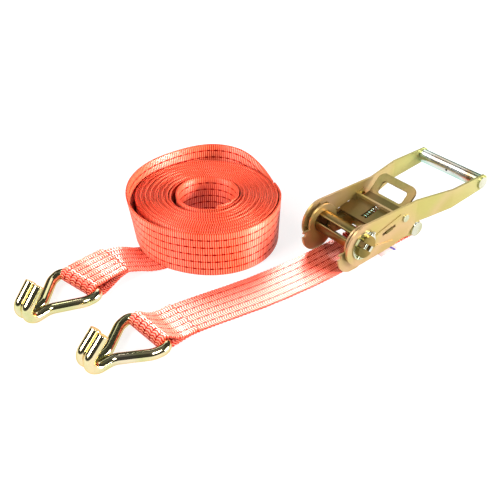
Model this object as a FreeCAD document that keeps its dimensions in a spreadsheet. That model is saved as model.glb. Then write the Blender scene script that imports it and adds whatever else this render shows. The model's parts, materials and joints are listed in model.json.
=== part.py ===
import FreeCAD, Part
import math
import os
import Sketcher
from FreeCAD import Placement, Rotation, Vector

# Ratchet tie-down for 50 mm webbing, in two parts: the ratchet buckle with its short strap and
# double-J hook, and the long strap, wound in a coil, with a hook of the same kind.
# Origin: centre of the winding drum. +X runs from the drum to the handle's grip, +Y across the
# drum to the left side, +Z up. The floor lies drum_height below the origin. Millimetres.

doc = FreeCAD.newDocument("RatchetTieDown")

SIZES = [
    # webbing
    ("webbing_width", 50.0), ("webbing_layer", 2.5), ("drum_height", 33.0),
    # frame: two side plates with a hub, a front lobe that stands on the floor, an arm and a boss
    ("frame_inner", 26.0), ("frame_plate", 2.5), ("hub_radius", 20.5), ("lobe_x", -6.0),
    ("lobe_z", -10.0), ("lobe_radius", 23.6), ("lobe_top", -4.0), ("arm_front_x", 20.0),
    ("arm_front_top", -4.5), ("arm_rear_x", 80.0), ("arm_rear_top", -11.0), ("arm_low", -23.0),
    ("boss_radius", 9.5), ("notch_depth", 3.5), ("notch_tall", 4.5), ("edge_break", 0.35),
    ("beyond", 60.0),
    # anchor bolt that holds the short strap
    ("anchor_x", 93.0), ("anchor_z", -20.3), ("bolt_radius", 5.0), ("bolt_head_radius", 8.5),
    ("bolt_head_thick", 3.0), ("spacer_radius", 10.0), ("nut_across", 15.0), ("nut_thick", 3.0),
    # drum: two half-round bars with a slot for the webbing between them
    ("drum_radius", 12.5), ("bore_gap", 0.05), ("slot_width", 6.4), ("slot_angle", 39.0),
    ("drum_half_length", 39.8), ("bar_edge_round", 1.4), ("wheel_inner", 28.9),
    ("wheel_thick", 3.0), ("wheel_root", 16.5), ("wheel_tip", 21.0), ("tooth_count", 12.0),
    ("tooth_phase", 3.5), ("tooth_lean", 3.0), ("washer_radius", 16.5), ("washer_thick", 1.2),
    ("split_pin_radius", 1.5), ("split_pin_length", 30.0), ("split_pin_y", 37.9),
    ("split_pin_head", 1.7), ("split_pin_room", 0.1),
    # handle
    ("handle_inner", 32.3), ("handle_plate", 2.5), ("handle_lobe", 24.3), ("flare_start", 82.0),
    ("flare_end", 132.0), ("flare_out", 10.0), ("handle_top_mid", 23.4), ("handle_top_end", 22.8),
    ("waist_x", 84.0), ("waist_z", -4.3), ("cheek_x", 72.0), ("cheek_z", -16.5),
    ("belly_x", 50.0), ("belly_z", -21.5), ("tail_low", 4.2), ("grip_x", 184.0),
    ("grip_z", 13.5), ("grip_radius", 8.0), ("grip_wall", 1.4), ("handle_end", 9.3),
    ("grip_rod_radius", 4.0), ("grip_head_radius", 7.2), ("grip_head_thick", 1.8),
    ("rib_height", 0.8), ("rib_half", 1.1), ("rib_root", 0.4), ("flare_round", 14.0),
    ("cheek_round", 6.0), ("blank_tall", 80.0), ("blank_thick", 40.0), ("vent_radius", 1.4),
    # drive pawl, on the handle; its line passes through the point below at the angle below
    ("drive_x", 22.0), ("drive_z", -0.86), ("drive_angle", 12.0), ("pawl_plate", 3.0),
    ("drive_front", 8.0), ("ear_front", 12.0), ("ear_back", 22.0), ("drive_shoulder", 30.0),
    ("ring_start", 52.0), ("ring_half", 26.5), ("ring_bar", 8.5), ("ring_long", 27.0),
    ("ring_rise", 33.0), ("drive_engage", 4.6), ("pawl_pull", 5.0), ("slide_gap", 0.3),
    ("bridge_start", 36.0), ("bridge_plate", 2.5), ("bridge_low", 5.0), ("bridge_high", 6.0),
    ("flange_long", 9.0), ("rivet_s", 43.0), ("rivet_radius", 2.5), ("rivet_head", 4.4),
    ("rivet_inner_head", 1.2), ("rivet_outer_head", 1.6), ("tongue_half", 1.2),
    ("window_half", 4.0), ("window_end", 41.0), ("ring_round", 4.0), ("ring_root", 3.0),
    # lock pawl, on the frame
    ("lock_x", 14.8), ("lock_z", -10.1), ("lock_angle", 15.8), ("lock_ear_front", 3.0),
    ("lock_ear_back", 14.0), ("lock_body_front", 5.0), ("lock_body_back", 22.0),
    ("finger_y", 6.5), ("finger_half", 1.5), ("finger_end", 46.0), ("tie_start", 36.0),
    ("tie_plate", 2.5), ("tie_low", 4.0), ("tie_high", 7.0),
    # springs
    ("spring_wire", 0.45), ("drive_spring_radius", 2.65), ("lock_spring_radius", 3.0),
    ("spring_turns", 6.0),
    # double-J hook of round wire; the bar lies in the strap's loop
    ("hook_wire", 5.5), ("bar_half", 30.5), ("leg_mid_x", 17.0), ("leg_mid_y", 27.0),
    ("leg_end_x", 46.0), ("jaw_spread", 5.8), ("jaw_back", 70.5), ("jaw_round", 10.5),
    ("leg_end_round", 15.0), ("leg_mid_round", 20.0), ("bar_end_round", 8.0), ("tip_round", 0.8),
    ("jaw_tip_height", 38.3), ("bar_height", 8.3), ("loop_gap", 0.3), ("loop_half", 21.0),
    ("loop_sewn", 38.0),
    # short strap
    ("short_x", -232.0), ("short_y", 17.0), ("short_yaw", 4.0), ("short_bend_x", -150.0),
    ("short_bend_y", 12.0), ("short_straight_x", -60.0), ("anchor_sewn_x", 30.0),
    ("label_x", 34.0), ("label_long", 26.0), ("label_out", 34.0), ("label_thick", 0.6),
    # long strap
    ("coil_x", -86.5), ("coil_y", 127.0), ("coil_radius", 82.5), ("coil_hole", 37.0),
    ("long_x", -247.0), ("long_y", 125.0), ("long_yaw", 12.0), ("tail_end_x", -150.0),
    ("tail_end_y", 122.0),
]

sheet = doc.addObject("Spreadsheet::Sheet", "sizes")
for row, (alias, value) in enumerate(SIZES, start=1):
    sheet.set("A%d" % row, alias)
    sheet.set("B%d" % row, str(value))
    sheet.setAlias("B%d" % row, alias)
doc.recompute()

PARTS = {}


def size(alias):
    """The value of one cell of the sheet."""
    return float(sheet.get(alias))


def keep(label, item):
    """Name a finished sub-part; its label is also its file's name."""
    item.Label = label
    PARTS[label] = item
    return item


def bind(item, prop, expression):
    item.setExpression(prop, expression)
    return item


# ---- sketches -------------------------------------------------------------------------------

def cells(expression):
    """Write 'hub_radius' or '-(hub_radius + 2)' as an expression on the sheet's cells."""
    text = ""
    word = ""
    for letter in str(expression) + " ":
        if letter.isalpha() or letter == "_":
            word += letter
            continue
        known = word in NAMES
        text += "sizes." + word if known else word
        word = ""
        text += letter
    return text.strip()


NAMES = {alias for alias, _ in SIZES}


def sketch_on(body, plane, shift="0", tilt=0.0, forward="0"):
    """A sketch on one of the body's own planes, moved along its normal by shift."""
    sketch = body.newObject("Sketcher::SketchObject", "Sketch")
    origin_plane = [f for f in body.Origin.OriginFeatures if f.Role == plane][0]
    sketch.AttachmentSupport = (origin_plane, "")
    sketch.MapMode = "FlatFace"
    turn = Rotation(Vector(0, 1, 0), tilt)
    sketch.AttachmentOffset = Placement(Vector(0, 0, 0), turn)
    bind(sketch, "AttachmentOffset.Base.x", cells(forward))
    bind(sketch, "AttachmentOffset.Base.z", cells(shift))
    return sketch


def tie_point(sketch, geometry, point, at, start):
    """Fix a point of the sketch at a pair of expressions, measured from its origin."""
    for kind, expression, value in (("DistanceX", at[0], start.x), ("DistanceY", at[1], start.y)):
        index = sketch.addConstraint(Sketcher.Constraint(kind, -1, 1, geometry, point, value))
        bind(sketch, "Constraints[%d]" % index, cells(expression))


def draw_polygon(sketch, corners):
    """A closed outline of straight lines with each corner bound to the sheet."""
    first = sketch.GeometryCount
    count = len(corners)
    start = []
    for i in range(count):
        turn = 2 * math.pi * i / count
        start.append(Vector(10 * math.cos(turn), 10 * math.sin(turn), 0))
    for i in range(count):
        sketch.addGeometry(Part.LineSegment(start[i], start[(i + 1) % count]), False)
    for i in range(count):
        after = first + (i + 1) % count
        sketch.addConstraint(Sketcher.Constraint("Coincident", first + i, 2, after, 1))
    for i, corner in enumerate(corners):
        tie_point(sketch, first + i, 1, corner, start[i])


def draw_circle(sketch, centre, radius):
    index = sketch.addGeometry(Part.Circle(Vector(1, 1, 0), Vector(0, 0, 1), 2), False)
    rule = sketch.addConstraint(Sketcher.Constraint("Radius", index, 2))
    bind(sketch, "Constraints[%d]" % rule, cells(radius))
    tie_point(sketch, index, 3, centre, Vector(1, 1, 0))


def both_sides(corners):
    """Corners given for the left half, as (along, across), closed by their mirror image."""
    mirror = [(along, "-(%s)" % across) for along, across in reversed(corners)]
    return corners + mirror


# ---- PartDesign features --------------------------------------------------------------------

def new_body(name):
    return doc.addObject("PartDesign::Body", name)


def pad(body, sketch, length, middle=False):
    feature = body.newObject("PartDesign::Pad", "Pad")
    feature.Profile = sketch
    feature.Midplane = middle
    bind(feature, "Length", cells(length))
    return feature


def pocket(body, sketch):
    """Cut right through the body, both ways from the sketch."""
    before = solid_volume(body)
    feature = body.newObject("PartDesign::Pocket", "Pocket")
    feature.Profile = sketch
    feature.Type = "ThroughAll"
    feature.Midplane = True
    doc.recompute()
    if not body.Shape.Volume < before:
        raise ValueError(body.Name + ": a pocket cuts nothing")
    return feature


def solid_volume(body):
    doc.recompute()
    return body.Shape.Volume


def round_corners(body, radius, spots, reach=0.6):
    """Fillet the straight edges whose middle lies near one of the given points."""
    doc.recompute()
    names = []
    for number, edge in enumerate(body.Tip.Shape.Edges, start=1):
        if edge.Curve.TypeId != "Part::GeomLine":
            continue
        middle = edge.valueAt((edge.FirstParameter + edge.LastParameter) / 2)
        if any((middle - spot).Length < reach for spot in spots):
            names.append("Edge%d" % number)
    if len(names) != len(spots):
        raise ValueError("%s: %d edges for %d corners" % (body.Name, len(names), len(spots)))
    base = body.Tip
    feature = body.newObject("PartDesign::Fillet", "Fillet")
    feature.Base = (base, names)
    bind(feature, "Radius", cells(radius))
    body.Tip = feature
    doc.recompute()
    return feature


def break_edges(body, axis):
    """Chamfer the rims of the flat faces that look along the axis."""
    doc.recompute()
    shape = body.Tip.Shape
    names = []
    for number, edge in enumerate(shape.Edges, start=1):
        beside = shape.ancestorsOfType(edge, Part.Face)
        flat = [f for f in beside if f.Surface.TypeId == "Part::GeomPlane"
                and abs(f.normalAt(0, 0).dot(axis)) > 0.999]
        if len(flat) == 1:
            names.append("Edge%d" % number)
    base = body.Tip
    feature = body.newObject("PartDesign::Chamfer", "Chamfer")
    feature.Base = (base, names)
    bind(feature, "Size", cells("edge_break"))
    body.Tip = feature
    doc.recompute()
    return feature


def plate_shift(side, inner, thick):
    """Where a plate's sketch on XZ stands, so that the plate fills inner to inner + thick."""
    if side == "left":
        return "-(%s + %s)" % (inner, thick)
    return inner


# ---- the two pawl lines: along runs away from the drum, up is square to it ---------------------

def on_line(name, along, up):
    """A point of the side view from its place on a pawl's line."""
    slope = {"drive": "(-drive_angle * 1 deg)", "lock": "(lock_angle * 1 deg)"}[name]
    across = "%s_x + (%s) * cos%s + (%s) * sin%s" % (name, along, slope, up, slope)
    height = "%s_z - (%s) * sin%s + (%s) * cos%s" % (name, along, slope, up, slope)
    return across, height


def box_on_line(name, start, end, low, high):
    return [on_line(name, start, low), on_line(name, end, low),
            on_line(name, end, high), on_line(name, start, high)]


def line_place(name):
    """Placement that lays a body drawn along +X onto a pawl's line."""
    turn = {"drive": -size("drive_angle"), "lock": size("lock_angle")}[name]
    start = Vector(size(name + "_x"), 0, size(name + "_z"))
    return Placement(start, Rotation(Vector(0, 1, 0), turn))


# ---- frame ------------------------------------------------------------------------------------

def frame_plate(side):
    body = new_body("frame_plate_" + side)
    shift = plate_shift(side, "frame_inner", "frame_plate")

    def side_sketch():
        return sketch_on(body, "XZ_Plane", shift)

    lobe = side_sketch()
    draw_circle(lobe, ("lobe_x", "lobe_z"), "lobe_radius")
    pad(body, lobe, "frame_plate")
    trims = side_sketch()
    draw_polygon(trims, [("-beyond", "lobe_top"), ("beyond", "lobe_top"), ("beyond", "beyond"),
                         ("-beyond", "beyond")])
    draw_polygon(trims, [("-beyond", "-beyond"), ("beyond", "-beyond"),
                         ("beyond", "-drum_height"), ("-beyond", "-drum_height")])
    pocket(body, trims)
    hub = side_sketch()
    draw_circle(hub, ("0", "0"), "hub_radius")
    pad(body, hub, "frame_plate")
    arm = side_sketch()
    draw_polygon(arm, [("5", "arm_front_top - 2"), ("arm_front_x", "arm_front_top"),
                       ("arm_rear_x", "arm_rear_top"), ("anchor_x", "anchor_z + boss_radius"),
                       ("anchor_x", "anchor_z - boss_radius"),
                       ("arm_rear_x", "arm_low - 3"), ("arm_front_x", "arm_low"),
                       ("5", "arm_low")])
    pad(body, arm, "frame_plate")
    boss = side_sketch()
    draw_circle(boss, ("anchor_x", "anchor_z"), "boss_radius")
    pad(body, boss, "frame_plate")
    holes = side_sketch()
    draw_circle(holes, ("0", "0"), "drum_radius + bore_gap")
    draw_circle(holes, ("anchor_x", "anchor_z"), "bolt_radius + bore_gap")
    pocket(body, holes)
    slots = side_sketch()
    draw_polygon(slots, box_on_line("lock", "lock_ear_front - slide_gap",
                                    "lock_ear_back + pawl_pull + slide_gap",
                                    "-pawl_plate / 2 - slide_gap", "pawl_plate / 2 + slide_gap"))
    draw_polygon(slots, box_on_line("lock", "tie_start - 0.1", "tie_start + tie_plate + 0.1",
                                    "-1.1", "4.1"))
    pocket(body, slots)
    notch = side_sketch()
    draw_polygon(notch, [("-beyond", "lobe_top - 2"),
                         ("lobe_x - lobe_radius + notch_depth + 1", "lobe_top - 2"),
                         ("lobe_x - lobe_radius + notch_depth", "lobe_top - 2 - notch_tall"),
                         ("-beyond", "lobe_top - 2 - notch_tall")])
    pocket(body, notch)
    break_edges(body, Vector(0, 1, 0))
    keep("frame_plate_" + side, body)


def frame_tie():
    """Cross plate behind the lock pawl: it ties the side plates and seats the springs."""
    body = new_body("frame_tie")
    web = sketch_on(body, "YZ_Plane", "tie_start")
    draw_polygon(web, tie_outline())
    pad(body, web, "tie_plate")
    holes = sketch_on(body, "YZ_Plane", "tie_start")
    for sign in ("", "-"):
        near = "%s(finger_y - finger_half - slide_gap)" % sign
        far = "%s(finger_y + finger_half + slide_gap)" % sign
        low = "-finger_half - slide_gap"
        high = "finger_half + slide_gap"
        draw_polygon(holes, [(near, low), (far, low), (far, high), (near, high)])
    pocket(body, holes)
    body.Placement = line_place("lock")
    keep("frame_tie", body)


def tie_outline():
    """The tie seen along the pawl's line: a web with one tenon at each end."""
    outer = "frame_inner + frame_plate"
    left = [("frame_inner", "-tie_low"), ("frame_inner", "-1"), (outer, "-1"), (outer, "4"),
            ("frame_inner", "4"), ("frame_inner", "tie_high")]
    right = [("-(%s)" % across, up) for across, up in reversed(left)]
    return left + right


def turned(body_name, sections, axis_point):
    """A round piece along Y: each section is (from, to, radius) as expressions."""
    body = new_body(body_name)
    for start, end, radius in sections:
        sketch = sketch_on(body, "XZ_Plane", "-(%s)" % end)
        draw_circle(sketch, axis_point, radius)
        pad(body, sketch, "(%s) - (%s)" % (end, start))
    return body


def bored(body, axis_point, radius):
    sketch = sketch_on(body, "XZ_Plane")
    draw_circle(sketch, axis_point, radius)
    pocket(body, sketch)
    return body


def hexagon(radius, axis_point):
    corners = []
    for corner in range(6):
        turn = "(%d * 60 deg)" % corner
        corners.append(("%s + (%s) * cos%s" % (axis_point[0], radius, turn),
                        "%s + (%s) * sin%s" % (axis_point[1], radius, turn)))
    return corners


def anchor():
    spot = ("anchor_x", "anchor_z")
    outer = "frame_inner + frame_plate"
    bolt = turned("anchor_bolt", [("-(%s)" % outer, outer + " + nut_thick", "bolt_radius"),
                                  ("-(%s) - bolt_head_thick" % outer, "-(%s)" % outer,
                                   "bolt_head_radius")], spot)
    keep("anchor_bolt", bolt)
    spacer = turned("anchor_spacer", [("-frame_inner + 0.1", "frame_inner - 0.1",
                                       "spacer_radius")], spot)
    keep("anchor_spacer", bored(spacer, spot, "bolt_radius + bore_gap"))
    nut = new_body("anchor_nut")
    sketch = sketch_on(nut, "XZ_Plane", "-(%s + nut_thick)" % outer)
    draw_polygon(sketch, hexagon("nut_across / 1.732", spot))
    pad(nut, sketch, "nut_thick")
    keep("anchor_nut", bored(nut, spot, "bolt_radius"))


# ---- drum -------------------------------------------------------------------------------------

def drum_turn():
    """The drum's slot leans; bodies drawn with the slot along X are turned to it."""
    return Placement(Vector(0, 0, 0), Rotation(Vector(0, 1, 0), size("slot_angle")))


def drum_bar(name, sign):
    """One half-round bar, drawn above or below a level slot and then turned."""
    body = new_body(name)
    round_face = sketch_on(body, "XZ_Plane")
    draw_circle(round_face, ("0", "0"), "drum_radius")
    pad(body, round_face, "drum_half_length * 2", middle=True)
    edge = "%s(slot_width / 2)" % sign
    far = "-(%sbeyond)" % sign
    half = sketch_on(body, "XZ_Plane")
    draw_polygon(half, [("-beyond", edge), ("beyond", edge), ("beyond", far), ("-beyond", far)])
    pocket(body, half)
    level = size("slot_width") / 2 * (1 if sign == "" else -1)
    reach = math.sqrt(size("drum_radius") ** 2 - level ** 2)
    round_corners(body, "bar_edge_round", [Vector(reach, 0, level), Vector(-reach, 0, level)])
    pins = sketch_on(body, "XY_Plane")
    for side in ("", "-"):
        draw_circle(pins, ("0", side + "split_pin_y"), "split_pin_radius + split_pin_room")
    pocket(body, pins)
    body.Placement = drum_turn()
    keep(name, body)


def ratchet_wheel(side):
    body = new_body("ratchet_wheel_" + side)
    shift = plate_shift(side, "wheel_inner", "wheel_thick")
    disc = sketch_on(body, "XZ_Plane", shift)
    draw_circle(disc, ("0", "0"), "wheel_root")
    pad(body, disc, "wheel_thick")
    tooth = sketch_on(body, "XZ_Plane", shift)
    pitch = "360 / tooth_count"
    corners = []
    for radius, turn in (("wheel_root", "tooth_phase - tooth_lean"),
                         ("wheel_tip", "tooth_phase"),
                         ("wheel_root", "tooth_phase - tooth_lean + " + pitch)):
        angle = "((%s) * 1 deg)" % turn
        corners.append(("%s * cos%s" % (radius, angle), "%s * sin%s" % (radius, angle)))
    draw_polygon(tooth, corners)
    one = pad(body, tooth, "wheel_thick")
    doc.recompute()
    ring = body.newObject("PartDesign::PolarPattern", "Teeth")
    ring.Originals = [one]
    ring.Axis = ([f for f in body.Origin.OriginFeatures if f.Role == "Y_Axis"][0], [""])
    ring.Angle = 360
    bind(ring, "Occurrences", cells("tooth_count"))
    body.Tip = ring
    doc.recompute()
    turned_slot = size("slot_angle") * math.pi / 180
    for sign in ("", "-"):
        cut = sketch_on(body, "XZ_Plane")
        draw_d_shape(cut, sign, turned_slot)
        pocket(body, cut)
    keep("ratchet_wheel_" + side, body)


def draw_d_shape(sketch, sign, slope):
    """The outline of one half-round bar with running room, turned with the slot."""
    radius = size("drum_radius") + size("bore_gap")
    level = size("slot_width") / 2 - size("bore_gap")
    facing = 1 if sign == "" else -1
    reach = math.sqrt(radius ** 2 - level ** 2)

    def place(x, z):
        z = z * facing
        return Vector(x * math.cos(slope) + z * math.sin(slope),
                      z * math.cos(slope) - x * math.sin(slope), 0)

    ends = [place(reach, level), place(-reach, level)]
    arc = Part.Arc(ends[0], place(0, radius), ends[1])
    sketch.addGeometry(arc, False)
    sketch.addGeometry(Part.LineSegment(ends[1], ends[0]), False)
    sketch.addConstraint(Sketcher.Constraint("Block", 0))
    sketch.addConstraint(Sketcher.Constraint("Block", 1))


def drum_fasteners():
    washers = []
    pins = []
    for side in ("left", "right"):
        shift = plate_shift(side, "handle_inner + handle_plate + 0.1", "washer_thick")
        body = new_body("washer_" + side)
        sketch = sketch_on(body, "XZ_Plane", shift)
        draw_circle(sketch, ("0", "0"), "washer_radius")
        pad(body, sketch, "washer_thick")
        washers.append(bored(body, ("0", "0"), "drum_radius + bore_gap"))
        pins.append(split_pin(side))
    for label, group in (("drum_washers", washers), ("split_pins", pins)):
        compound = doc.addObject("Part::Compound", label)
        compound.Links = group
        keep(label, compound)


def split_pin(side):
    """A straight pin with a ring head, across both bars near the drum's end."""
    body = new_body("split_pin_" + side)
    sign = "" if side == "left" else "-"
    shank = sketch_on(body, "XY_Plane", "-split_pin_length / 2")
    draw_circle(shank, ("0", sign + "split_pin_y"), "split_pin_radius")
    pad(body, shank, "split_pin_length")
    head = sketch_on(body, "YZ_Plane")
    draw_circle(head, (sign + "split_pin_y", "split_pin_length / 2 + split_pin_radius"),
                "split_pin_head")
    pad(body, head, "split_pin_radius * 1.6", middle=True)
    body.Placement = drum_turn()
    return body


# ---- handle -----------------------------------------------------------------------------------

def handle_plate(side):
    """A flat cheek round the drum that flares out to the grip: the flared band of sheet is
    cut to the cheek's outline, and pressed ribs are added."""
    sign = "" if side == "left" else "-"
    band = new_body("handle_band_" + side)
    plan = sketch_on(band, "XY_Plane")
    inner = [("-40", "handle_inner"), ("flare_start", "handle_inner"),
             ("flare_end", "handle_inner + flare_out"), ("220", "handle_inner + flare_out")]
    outer = [("220", "handle_inner + flare_out + handle_plate"),
             ("flare_end - 0.3", "handle_inner + flare_out + handle_plate"),
             ("flare_start - 0.3", "handle_inner + handle_plate"),
             ("-40", "handle_inner + handle_plate")]
    draw_polygon(plan, [(x, "%s(%s)" % (sign, y)) for x, y in inner + outer])
    pad(band, plan, "blank_tall", middle=True)
    facing = 1 if side == "left" else -1
    low, thick = size("handle_inner") * facing, size("handle_plate") * facing
    out = size("flare_out") * facing
    round_corners(band, "flare_round", [Vector(size("flare_start"), low, 0),
                                        Vector(size("flare_end") - 0.3, low + out + thick, 0)])
    round_corners(band, "flare_round - handle_plate",
                  [Vector(size("flare_start") - 0.3, low + thick, 0),
                   Vector(size("flare_end"), low + out, 0)])

    form = new_body("handle_outline_" + side)
    shift = "-(blank_thick * 1.5)" if side == "left" else "blank_thick / 2"

    def side_sketch():
        return sketch_on(form, "XZ_Plane", shift)

    lobe = side_sketch()
    draw_circle(lobe, ("0", "0"), "handle_lobe")
    pad(form, lobe, "blank_thick")
    cheek = side_sketch()
    draw_polygon(cheek, [("0", "handle_lobe"), ("flare_start", "handle_top_mid"),
                         ("grip_x", "handle_top_end"), ("grip_x", "tail_low"),
                         ("waist_x + 16", "waist_z + 0.8"), ("waist_x", "waist_z"),
                         ("cheek_x", "cheek_z"), ("belly_x", "belly_z"), ("0", "-handle_lobe")])
    pad(form, cheek, "blank_thick")
    tail = side_sketch()
    draw_circle(tail, ("grip_x", "grip_z"), "handle_end")
    pad(form, tail, "blank_thick")
    middle = size("blank_thick") * facing
    round_corners(form, "cheek_round", [Vector(size("waist_x"), middle, size("waist_z")),
                                        Vector(size("cheek_x"), middle, size("cheek_z"))])
    holes = side_sketch()
    draw_circle(holes, ("0", "0"), "drum_radius + bore_gap")
    draw_circle(holes, ("grip_x", "grip_z"), "grip_rod_radius + bore_gap")
    draw_circle(holes, on_line("drive", "rivet_s", "0"), "rivet_radius")
    pocket(form, holes)
    slot = side_sketch()
    draw_polygon(slot, box_on_line("drive", "ear_front - drive_engage - slide_gap",
                                   "ear_back + pawl_pull + slide_gap",
                                   "-pawl_plate / 2 - slide_gap", "pawl_plate / 2 + slide_gap"))
    pocket(form, slot)

    sheet_plate = doc.addObject("Part::MultiCommon", "handle_sheet_" + side)
    sheet_plate.Shapes = [band, form]
    ribs = [rib(side, "high", on_line("drive", "-1", "6.5"), on_line("drive", "36", "8.5")),
            rib(side, "low", ("18", "-9"), ("46", "-14"))]
    whole = doc.addObject("Part::MultiFuse", "handle_plate_" + side)
    whole.Shapes = [sheet_plate] + ribs
    keep("handle_plate_" + side, whole)


def rib(side, name, start, end):
    """A pressed rib: a low bar with round ends, standing on the cheek's outer face."""
    body = new_body("rib_%s_%s" % (name, side))
    face = "handle_inner + handle_plate"
    deep = "rib_height + rib_root"
    shift = plate_shift(side, face + " - rib_root", deep)
    for spot in (start, end):
        sketch = sketch_on(body, "XZ_Plane", shift)
        draw_circle(sketch, spot, "rib_half")
        pad(body, sketch, deep)
    bar = sketch_on(body, "XZ_Plane", shift)
    draw_polygon(bar, [(start[0], "%s - rib_half" % start[1]), (end[0], "%s - rib_half" % end[1]),
                       (end[0], "%s + rib_half" % end[1]), (start[0], "%s + rib_half" % start[1])])
    pad(body, bar, deep)
    doc.recompute()
    return body


def handle_bridge():
    """Cross plate between the cheeks: it guides the drive pawl and seats its spring. A flange
    at each end is riveted to the cheek."""
    body = new_body("handle_bridge")
    web = sketch_on(body, "YZ_Plane", "bridge_start")
    draw_polygon(web, [("-handle_inner", "-bridge_low"), ("handle_inner", "-bridge_low"),
                       ("handle_inner", "bridge_high"), ("-handle_inner", "bridge_high")])
    pad(body, web, "bridge_plate")
    for side in ("left", "right"):
        flange = sketch_on(body, "XZ_Plane", plate_shift(side, "handle_inner - bridge_plate",
                                                       "bridge_plate"))
        draw_polygon(flange, [("bridge_start", "-bridge_low"),
                              ("bridge_start + bridge_plate + flange_long", "-bridge_low"),
                              ("bridge_start + bridge_plate + flange_long", "bridge_high"),
                              ("bridge_start", "bridge_high")])
        pad(body, flange, "bridge_plate")
    slot = sketch_on(body, "YZ_Plane", "bridge_start")
    low = "-pawl_plate / 2 - slide_gap"
    high = "pawl_plate / 2 + slide_gap"
    draw_polygon(slot, [("-ring_half - slide_gap", low), ("ring_half + slide_gap", low),
                        ("ring_half + slide_gap", high), ("-ring_half - slide_gap", high)])
    pocket(body, slot)
    bored(body, ("rivet_s", "0"), "rivet_radius")
    body.Placement = line_place("drive")
    keep("handle_bridge", body)


def handle_rivets():
    spot = on_line("drive", "rivet_s", "0")
    inner = "handle_inner - bridge_plate"
    outer = "handle_inner + handle_plate"
    rivets = []
    for side, sign in (("left", ""), ("right", "-")):
        spans = [(inner + " - rivet_inner_head", inner, "rivet_head"),
                 (inner, outer, "rivet_radius - 0.02"),
                 (outer, outer + " + rivet_outer_head", "rivet_head")]
        if sign:
            spans = [("-(%s)" % end, "-(%s)" % start, radius) for start, end, radius in spans]
        rivets.append(turned("rivet_" + side, spans, spot))
    compound = doc.addObject("Part::Compound", "handle_rivets")
    compound.Links = rivets
    keep("handle_rivets", compound)


def grip():
    spot = ("grip_x", "grip_z")
    half = "(handle_inner + flare_out - 0.1)"
    tube = turned("grip_tube", [("-" + half, half, "grip_radius")], spot)
    bored(tube, spot, "grip_radius - grip_wall")
    vent = sketch_on(tube, "YZ_Plane", "0")
    draw_circle(vent, ("0", "grip_z"), "vent_radius")
    feature = tube.newObject("PartDesign::Pocket", "Vent")
    feature.Profile = vent
    feature.Type = "Length"
    feature.Reversed = True
    bind(feature, "Length", cells("grip_x"))
    keep("grip_tube", tube)
    outer = "handle_inner + flare_out + handle_plate"
    rod = turned("grip_rod", [("-(%s)" % outer, outer, "grip_rod_radius"),
                              ("-(%s) - grip_head_thick" % outer, "-(%s)" % outer,
                               "grip_head_radius"),
                              (outer, outer + " + grip_head_thick", "grip_head_radius")], spot)
    keep("grip_rod", rod)


# ---- pawls ------------------------------------------------------------------------------------

def drive_pawl():
    """Sliding plate with a tip on each side for the wheels, an ear through each cheek, a window
    with the spring's tongue, and an upturned finger ring."""
    body = new_body("drive_pawl")
    room = "handle_inner - slide_gap"
    ear = "handle_inner + handle_plate + 1"
    outline = [("drive_front", "wheel_inner - 0.2"), ("0", "wheel_inner - 0.2"), ("0", room),
               ("ear_front", room), ("ear_front", ear), ("ear_back", ear), ("ear_back", room),
               ("drive_shoulder", room), ("drive_shoulder", "ring_half"),
               ("ring_start", "ring_half")]
    plate = sketch_on(body, "XY_Plane")
    draw_polygon(plate, both_sides(outline))
    pad(body, plate, "pawl_plate", middle=True)
    window = sketch_on(body, "XY_Plane")
    front = "ear_front + 2"
    draw_polygon(window, [(front, "tongue_half"), (front, "window_half"),
                          ("window_end", "window_half"), ("window_end", "-window_half"),
                          (front, "-window_half"), (front, "-tongue_half"),
                          ("drive_shoulder", "-tongue_half"), ("drive_shoulder", "tongue_half")])
    pocket(body, window)
    bend = sketch_on(body, "XZ_Plane")
    draw_circle(bend, ("ring_start", "0"), "pawl_plate / 2")
    pad(body, bend, "ring_half * 2", middle=True)
    rise = size("ring_rise")
    ring = sketch_on(body, "XY_Plane", tilt=-rise, forward="ring_start")
    draw_polygon(ring, [("0", "-ring_half"), ("ring_long", "-ring_half"),
                        ("ring_long", "ring_half"), ("0", "ring_half")])
    pad(body, ring, "pawl_plate", middle=True)
    slope = math.radians(rise)

    def on_ring(along, across):
        return Vector(size("ring_start") + along * math.cos(slope), across,
                      along * math.sin(slope))

    half, bar, far = size("ring_half"), size("ring_bar"), size("ring_long")
    round_corners(body, "ring_bar", [on_ring(far, half), on_ring(far, -half)])
    hole = sketch_on(body, "XY_Plane", tilt=-rise, forward="ring_start")
    draw_polygon(hole, [("ring_root", "-ring_half + ring_bar"),
                        ("ring_long - ring_bar", "-ring_half + ring_bar"),
                        ("ring_long - ring_bar", "ring_half - ring_bar"),
                        ("ring_root", "ring_half - ring_bar")])
    pocket(body, hole)
    inner = half - bar
    root = size("ring_root")
    round_corners(body, "ring_round", [on_ring(far - bar, inner), on_ring(far - bar, -inner),
                                       on_ring(root, inner), on_ring(root, -inner)])
    body.Placement = line_place("drive")
    keep("drive_pawl", body)


def lock_pawl():
    """Sliding plate on the frame, with a tip on each side that rests between two teeth."""
    body = new_body("lock_pawl")
    room = "frame_inner - slide_gap"
    tip = "handle_inner - slide_gap"
    outline = [("lock_body_front", room), ("lock_ear_front", room),
               ("lock_ear_front", "wheel_inner - 0.2"), ("0", "wheel_inner - 0.2"), ("0", tip),
               ("lock_ear_back", tip), ("lock_ear_back", room), ("lock_body_back", room),
               ("lock_body_back", "finger_y + finger_half"),
               ("finger_end", "finger_y + finger_half"), ("finger_end", "finger_y - finger_half"),
               ("lock_body_back", "finger_y - finger_half")]
    plate = sketch_on(body, "XY_Plane")
    draw_polygon(plate, both_sides(outline))
    pad(body, plate, "pawl_plate", middle=True)
    body.Placement = line_place("lock")
    keep("lock_pawl", body)


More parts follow.
